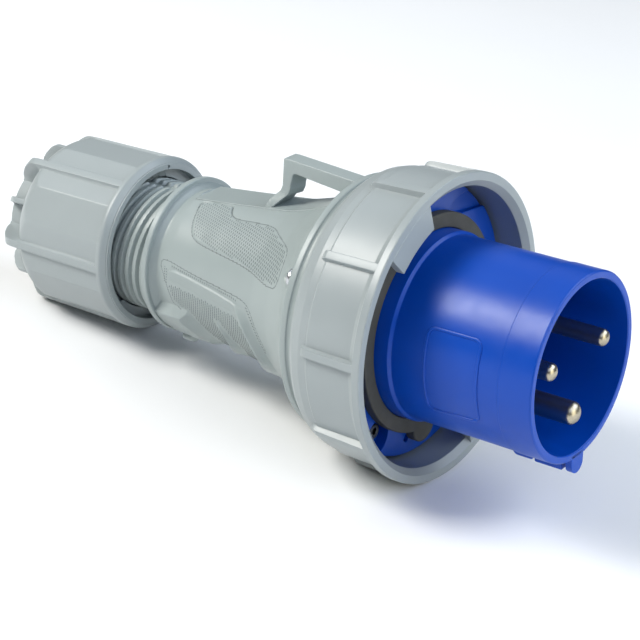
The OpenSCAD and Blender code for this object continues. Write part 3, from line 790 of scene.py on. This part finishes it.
def disc_outline(finger):
    """Outline of the flange disc, with its screw pockets and, in the front layer, the finger recess."""
    phi = math.degrees(math.acos(4.265 / 6.2))
    arc = [(41.8 + 6.2 * math.cos(rad(t)), 6.2 * math.sin(rad(t))) for t in np.linspace(-phi, -360 + phi, 37)]
    cuts = [(p - half_gap, p + half_gap, turned(arc, p)) for p in (113.0, 233.0, 353.0)]
    if finger:
        a_hi = 55 + math.degrees(math.atan2(1.0, 46.99))
        a_lo = 55 + math.degrees(math.atan2(-12.2, 45.4))
        cuts.append((a_lo, a_hi, turned(FINGER[::-1], 55)))
    cuts.sort(key=lambda c: c[0])
    pts = []
    for i, (lo, hi, inner) in enumerate(cuts):
        pts += inner
        nxt = cuts[(i + 1) % len(cuts)][0] + (360 if i == len(cuts) - 1 else 0)
        m = max(4, int((nxt - hi) / 2))
        pts += [polar(47.0, hi + (nxt - hi) * k / m) for k in range(m + 1)]
    return [p for i, p in enumerate(pts) if math.dist(p, pts[i - 1]) > 0.02]


hole = [polar(31.0, 4.0 * k) for k in range(90)]
cres = [(41.3 * math.cos(rad(258.8)) + 1.5 * math.cos(rad(t)), 41.3 * math.sin(rad(258.8)) + 1.5 * math.sin(rad(t)))
        for t in range(0, 360, 15)]
plate(sh, [disc_outline(True), hole, cres], -63.15, -61.5, in_section, rho=0.3, rho0=0.02)
plate(sh, [disc_outline(False), hole], -65.6, -63.1, in_section, rho=0.05, rho0=0.05)
for i, a in enumerate((14.0, 166.0, 270.0)):
    pr = (3.0, 3.0, 4.0)[i]
    br = (5.2, 5.2, 5.8)[i]
    c = polar(16.9, a)
    lathe(sh, [(pr + 0.1, -45.6), (br + 0.9, -45.3, 0.2), (br + 0.55, -43.8, 0.3), (pr + 0.1, -43.8, 0.2)], 64, centre=c)
# key: nose, neck, rail and broad foot
at270 = in_section_at(270)


nose = [(33.9 + 3.6 * math.cos(rad(t)), 3.6 * math.sin(rad(t))) for t in np.linspace(-90, 90, 33)]
plate(sh, [nose + [(30.2, 3.7), (30.2, -3.7)]], -2.4, 0.0, at270, rho=0.12, rho0=0.12)
plate(sh, [[(30.6, -2.6), (33.6, -2.6), (34.0, -2.2), (34.0, 2.2), (33.6, 2.6), (30.6, 2.6)]], -4.4, -2.2, at270, rho=0.1)
plate(sh, [fillet([(30.5, -3.4), (36.7, -3.4, 0.8), (36.7, 3.4, 0.8), (30.5, 3.4)], 4, closed=True)], -14.1, -4.0, at270,
      rho=0.3, rho0=0.3)
plate(sh, [fillet([(-14.2, 30.6), (-14.1, 35.25, 0.5), (-20.5, 35.25, 2.2), (-23.4, 32.3, 1.5), (-24, 30.6)], 4,
                  closed=True)], -5.0, 5.0, in_radial(270), rho=0.45)
# bare raised frame on the side of the shroud
def on_shroud(x, a, r):
    return (x, r * math.cos(rad(a)), r * math.sin(rad(a)))


K = math.pi * 31.7 / 180
fr = fillet([(-39.8, 154.0 * K, 2.6), (-20.1, 153.6 * K, 2.6), (-20.0, 206.0 * K, 2.6), (-39.4, 207.3 * K, 2.6)], 8,
            closed=True)
dense = []
for i in range(len(fr)):
    p, q = np.array(fr[i]), np.array(fr[(i + 1) % len(fr)])
    m = max(1, int(np.hypot(*(q - p)) / 0.8))
    dense += [tuple(p + (q - p) * k / m) for k in range(m)]
fr = np.array(dense)
if area2(fr) < 0:
    fr = fr[::-1]
prof = [(-0.52, -0.25), (-0.5, 0.18), (-0.38, 0.34), (-0.18, 0.4), (0.18, 0.4), (0.38, 0.34), (0.5, 0.18), (0.52, -0.25)]
vv = []
for (d, h) in prof:
    q = inset(fr, d)
    vv.append([on_shroud(px, py / K, 31.7 + h) for px, py in q])
sh.add_np(np.array(vv), grid_quads(len(prof), len(fr), wrap_u=True))
make("front_shell_body", sh, "plug", [BLUE], ["front_shell"], sharp=36)

# ------------------------------------------------------------------ gasket
al = math.degrees(math.acos((38.0 ** 2 + 36.5 ** 2 - 6.3 ** 2) / (2 * 38.0 * 36.5)))
loop = [polar(38.0, 266 + al + (360 - 2 * al) * k / 150) for k in range(151)]
be = math.degrees(math.acos((6.3 ** 2 + 36.5 ** 2 - 38.0 ** 2) / (2 * 6.3 * 36.5)))
cy, cz = polar(36.5, 266)
loop += [(cy + 6.3 * math.cos(rad(266 + t)), cz + 6.3 * math.sin(rad(266 + t)))
         for t in np.linspace(-(180 - be), 180 - be, 31)[1:-1]]
sh = Shell()
plate(sh, [loop, [polar(32.75, 3.0 * k) for k in range(120)]], -61.48, -58.0, in_section, rho=0.5, rho0=0.15)
make("face_gasket_ring", sh, "plug", [GASKET], ["face_gasket"], sharp=38)

# ------------------------------------------------------------------ pins
for name, a, r, br, wr in (("line_pin", 166.0, 3.0, 5.2, 3.0), ("neutral_pin", 14.0, 3.0, 5.2, 3.0),
                           ("earth_pin", 270.0, 4.0, 5.8, 3.6)):
    sh = Shell()
    dome = [(r * math.sin(rad(t)), -0.4 - 0.72 * r * (1 - math.cos(rad(t)))) for t in np.linspace(0, 90, 15)]
    lathe(sh, dome + [(r, -43.6), (r - 0.2, -43.65), (r - 0.2, -51.0), (r + 3, -51.04, 0.2), (r + 3, -53), (br, -53),
                      (br, -75.6, 0.3), (br - 0.4, -76), (wr, -76), (wr, -64), (0, -62.6)], 72, closed=False,
          centre=polar(16.9, a))
    make(name + "_turned", sh, "plug", [BRASS], [name], sharp=34)


# ------------------------------------------------------------------ screws that show
def circle(r, n=48):
    return [(r * math.cos(2 * math.pi * k / n), r * math.sin(2 * math.pi * k / n)) for k in range(n)]


def on_axis(cy, cz, turn=0.0):
    c, s = math.cos(rad(turn)), math.sin(rad(turn))

    def f(pq):
        return np.column_stack([pq[:, 2], cy + pq[:, 0] * c - pq[:, 1] * s, cz + pq[:, 0] * s + pq[:, 1] * c])
    return f


sh = Shell()
for a in SCREW_A:
    cy, cz = polar(40.2, a)
    cross = [(1.8, 0.42), (0.55, 0.55), (0.42, 1.8), (-0.42, 1.8), (-0.55, 0.55), (-1.8, 0.42), (-1.8, -0.42),
             (-0.55, -0.55), (-0.42, -1.8), (0.42, -1.8), (0.55, -0.55), (1.8, -0.42)]
    plate(sh, [circle(3.3), cross], -90.0, -88.6, on_axis(cy, cz, 20), rho=0.12, rho0=0.75, seg=5)
    plate(sh, [circle(3.25)], -88.8, -87.52, on_axis(cy, cz), rho=0.1)
    lathe(sh, [(0, -88.0), (1.6, -88.0), (1.6, -65.0, 0.4), (1.1, -64.4), (0, -64.4)], 32, closed=False,
          centre=(cy, cz))
make("handle_screw_set", sh, "plug", [ZINC], ["handle_screws"], sharp=36)
sh = Shell()
for a in (113.0, 233.0, 353.0):
    cy, cz = polar(40.2, a)
    plate(sh, [circle(2.7), circle(1.25, 6)], -64.7, -63.4, on_axis(cy, cz, 10), rho=0.35, rho0=0.1, seg=4)
    plate(sh, [circle(2.68)], -65.48, -64.5, on_axis(cy, cz), rho=0.1)
    lathe(sh, [(0, -65.0), (1.6, -65.0), (1.6, -77.4, 0.4), (1.1, -78), (0, -78)], 32, closed=False, centre=(cy, cz))
make("shell_screw_set", sh, "plug", [DULL], ["shell_screws"], sharp=36)

# ------------------------------------------------------------------ pieces kept from the construction
for node, m in (("contact_retainer", DARK), ("terminal_screws", ZINC), ("wire_clamps", BRASS),
                ("retainer_screws", ZINC), ("pin_seals", RUBBER), ("shell_seal", RUBBER), ("gland_washer", DARK),
                ("gland_seal", RUBBER)):
    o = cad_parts[node]
    if len(o.data.materials) == 0:
        o.data.materials.append(m)
    for k in range(len(o.data.materials)):
        o.data.materials[k] = m

# ------------------------------------------------------------------ floor, light, camera
floor_mesh = bpy.data.meshes.new("floor")
floor_mesh.from_pydata([(-12, -12, 0), (12, -12, 0), (12, 12, 0), (-12, 12, 0)], [], [(0, 1, 2, 3)])
floor = bpy.data.objects.new("floor", floor_mesh)
bpy.context.scene.collection.objects.link(floor)
floor_mesh.materials.append(material("floor_pale", (0.93, 0.93, 0.93), (0.95, 0.95, 0.95), (0.7, 0.8), grain=60,
                                     bump=0.01, cloud=3.0, spec=0.2))


def aim(name, pos, target, size, energy, colour=(1, 1, 1), size_y=None):
    ld = bpy.data.lights.new(name, "AREA")
    ld.shape = "RECTANGLE"
    ld.size = size
    ld.size_y = size_y or size
    ld.energy = energy
    ld.color = colour
    o = bpy.data.objects.new(name, ld)
    bpy.context.scene.collection.objects.link(o)
    o.location = pos
    d = Vector(target) - Vector(pos)
    o.rotation_euler = d.to_track_quat("-Z", "Y").to_euler()
    return o


def sky(name, elevation, turn, energy, colour, size=0.9, dist=1.4):
    """A soft light; turn runs from +X (0) through the camera side (90) to -X (180)."""
    e, t = rad(elevation), rad(turn)
    d = (math.cos(e) * math.cos(t) * dist, -math.cos(e) * math.sin(t) * dist, math.sin(e) * dist + 0.05)
    return aim(name, d, (0, 0, 0.05), size, energy, colour)


sky("key", 42, 135, 20.0, (1.0, 0.985, 0.94), 0.6)
sky("front_low", 12, 0, 5.6, (1.0, 0.97, 0.77))
sky("front_high", 42, 0, 5.8, (0.87, 0.93, 1.0))
sky("front_side", 42, 45, 3.4, (0.63, 0.74, 1.0))
sky("rear_left", 42, 180, 2.4, (0.83, 0.92, 1.0))
sky("rear", 42, 225, 1.2, (1.0, 1.0, 1.0))
sky("rear_right", 42, 315, 9.4, (0.76, 0.86, 1.0))
world = bpy.data.worlds.new("studio")
bpy.context.scene.world = world
world.use_nodes = True
bg = world.node_tree.nodes["Background"]
bg.inputs["Color"].default_value = (0.95, 0.97, 1.0, 1)
bg.inputs["Strength"].default_value = 0.06
bpy.context.scene.view_settings.view_transform = "Standard"

AZ, EL, TW = rad(36.4845), rad(23.8985), rad(0.2242)
back = np.array([math.sin(AZ) * math.cos(EL), -math.cos(AZ) * math.cos(EL), math.sin(EL)])
right = np.array([math.cos(AZ), math.sin(AZ), 0.0])
up = np.cross(back, right)
r2 = right * math.cos(TW) + up * math.sin(TW)
u2 = -right * math.sin(TW) + up * math.cos(TW)
r2, u2, b2 = PLACE @ r2, PLACE @ u2, PLACE @ back
pos = to_row(np.array([291.138, -534.323, 283.431]))
cam_data = bpy.data.cameras.new("camera")
cam_data.sensor_width = 36.0
cam_data.lens = 117.88
cam_data.clip_start, cam_data.clip_end = 0.01, 60
cam = bpy.data.objects.new("camera", cam_data)
bpy.context.scene.collection.objects.link(cam)
cam.matrix_world = Matrix([[r2[0], u2[0], b2[0], pos[0]], [r2[1], u2[1], b2[1], pos[1]],
                           [r2[2], u2[2], b2[2], pos[2]], [0, 0, 0, 1]])
bpy.context.scene.camera = cam
